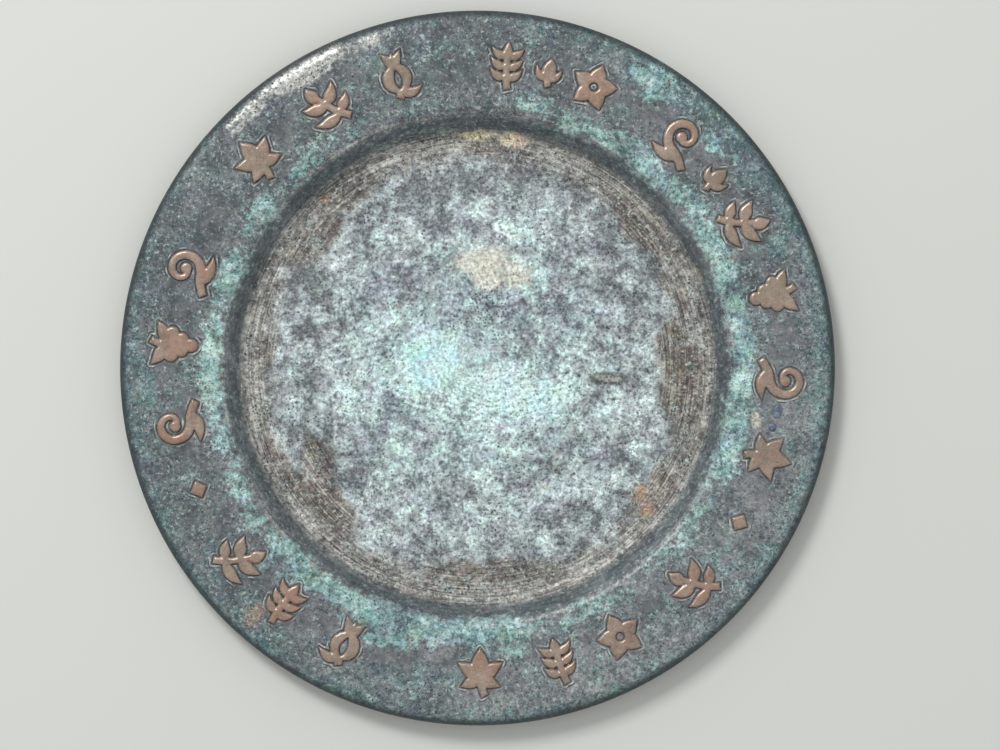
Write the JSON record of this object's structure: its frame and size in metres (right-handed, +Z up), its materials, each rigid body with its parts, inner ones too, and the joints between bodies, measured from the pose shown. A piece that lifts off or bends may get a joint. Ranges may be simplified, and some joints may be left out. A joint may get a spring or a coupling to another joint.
{
  "type": "havdalah plate",
  "caption": "Round copper plate with a broad flat rim, a shallow well and raised leaf and fruit ornaments round the rim; a cup, spices and a candle are set on it.",
  "frame": {"origin": "on the table, under the middle of the well", "axes": "+Z up out of the well along the plate's axis, +Y towards the top of the pictured face, +X to its right"},
  "size_m": [0.286, 0.286, 0.0147],
  "materials": {
    "patinated_copper": "spun copper under a dark slate patina with blue-green verdigris, matt to satin",
    "rubbed_copper": "sawn copper sheet rubbed back to dull pink-brown metal, satin"
  },
  "bodies": {
    "root": {"plate": "patinated_copper", "vine_leaf_1": "rubbed_copper", "tendril_1": "rubbed_copper", "grape_bunch_1": "rubbed_copper", "olive_sprig_1": "rubbed_copper", "bud_1": "rubbed_copper", "tendril_2": "rubbed_copper", "blossom_1": "rubbed_copper", "bud_2": "rubbed_copper", "wheat_ear_1": "rubbed_copper", "pomegranate_1": "rubbed_copper", "olive_sprig_2": "rubbed_copper", "vine_leaf_2": "rubbed_copper", "tendril_3": "rubbed_copper", "grape_bunch_2": "rubbed_copper", "tendril_4": "rubbed_copper", "olive_sprig_3": "rubbed_copper", "wheat_ear_2": "rubbed_copper", "pomegranate_2": "rubbed_copper", "vine_leaf_3": "rubbed_copper", "wheat_ear_3": "rubbed_copper", "blossom_2": "rubbed_copper", "olive_sprig_4": "rubbed_copper", "lozenge_1": "rubbed_copper", "lozenge_2": "rubbed_copper"}
  },
  "joints": []
}
